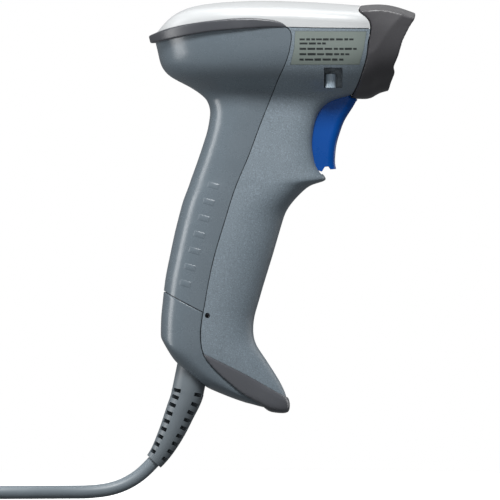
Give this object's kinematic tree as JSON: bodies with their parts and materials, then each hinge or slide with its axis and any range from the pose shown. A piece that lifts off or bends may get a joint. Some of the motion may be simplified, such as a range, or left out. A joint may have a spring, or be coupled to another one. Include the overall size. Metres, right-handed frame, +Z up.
{
  "type": "handheld barcode scanner",
  "caption": "Pistol-grip handheld barcode scanner with sprung trigger, flared scanning nose, rubber bumpers, slotted strain relief and a coiled cable with its host plug.",
  "frame": {"origin": "middle of the hand grip, on the plane of symmetry", "axes": "+X forward to the scan window, +Y to the left side, +Z up along the upright scanner"},
  "size_m": [0.299, 0.1195, 0.2339],
  "materials": {
    "housing_grey": "fine matte texture",
    "cover_white": "fine satin texture",
    "bezel_charcoal": "soft overmould, satin",
    "bumper_black": "satin rubber",
    "trigger_blue": "semi-gloss",
    "label_face": "satin film",
    "window_glass": "tinted, polished",
    "gasket_foam": "matte foam",
    "indicator_clear": "frosted",
    "steel": "plated",
    "spring_steel": "bright",
    "frame_black": "matte",
    "board_green": "solder mask",
    "chip_black": "matte",
    "connector_white": "matte",
    "switch_black": "matte",
    "plunger_red": "satin",
    "casting_grey": "die cast",
    "lens_glass": "coated",
    "led_white": "clear",
    "flex_amber": "polyimide",
    "contact_gold": "plated",
    "plug_clear": "clear moulding",
    "cable_grey": "satin",
    "tie_black": "woven hook and loop",
    "wire_red": "satin",
    "tongue_white": "matte"
  },
  "bodies": {
    "housing": {"top_cover": "cover_white", "indicator_lens": "indicator_clear", "rear_cover": "housing_grey", "front_housing": "housing_grey", "heel_cover": "housing_grey", "rear_bumper": "bumper_black", "toe_bumper": "bumper_black", "side_label": "label_face", "nose_bezel": "bezel_charcoal", "scan_window": "window_glass", "window_gasket": "gasket_foam", "lanyard_post": "housing_grey", "trigger_pin": "steel", "trigger_spring": "spring_steel", "switch_body": "switch_black", "switch_board": "board_green", "chassis_tray": "frame_black", "main_board": "board_green", "board_chips": "chip_black", "board_connector": "connector_white", "beeper": "chip_black", "board_screws": "steel", "cover_screws": "steel", "heel_screw": "steel", "engine_chassis": "casting_grey", "engine_board": "board_green", "lens_barrel": "frame_black", "lens_glass": "lens_glass", "illumination_leds": "led_white", "aimer": "contact_gold", "engine_screws": "steel", "engine_flex": "flex_amber", "modular_jack": "connector_white", "jack_contacts": "contact_gold", "modular_plug": "plug_clear", "handle_harness": "wire_red", "strain_relief": "cable_grey", "cord": "cable_grey", "cord_tail": "cable_grey", "cord_coil": "cable_grey", "cord_ties": "tie_black", "usb_overmould": "cable_grey", "usb_shell": "steel", "usb_tongue": "tongue_white", "usb_contacts": "contact_gold"},
    "trigger": {"trigger": "trigger_blue"},
    "plunger": {"switch_plunger": "plunger_red"},
    "latch": {"cable_latch": "plug_clear"}
  },
  "joints": [
    {"name": "trigger_pull", "type": "hinge", "parent": "housing", "child": "trigger", "pos_m": [0.054, 0, 0.0725], "axis": [0, 1, 0], "range_deg": [0, 7], "stiffness_Nm_per_rad": 0.6, "springref_deg": -4.58, "deforming": ["trigger_spring"]},
    {"name": "switch_press", "type": "slide", "parent": "housing", "child": "plunger", "axis": [-1, 0, 0], "range_m": [0, 0.0028]},
    {"name": "latch_flex", "type": "hinge", "parent": "housing", "child": "latch", "pos_m": [-0.00673, -0.0046, -0.01841], "axis": [0.9799, 0, -0.1994], "range_deg": [0, 5.5], "stiffness_Nm_per_rad": 0.3, "springref_deg": -1.15}
  ],
  "couplings": [
    {"joint": "switch_press", "follows": "trigger_pull", "m_per_rad": 0.0228}
  ]
}
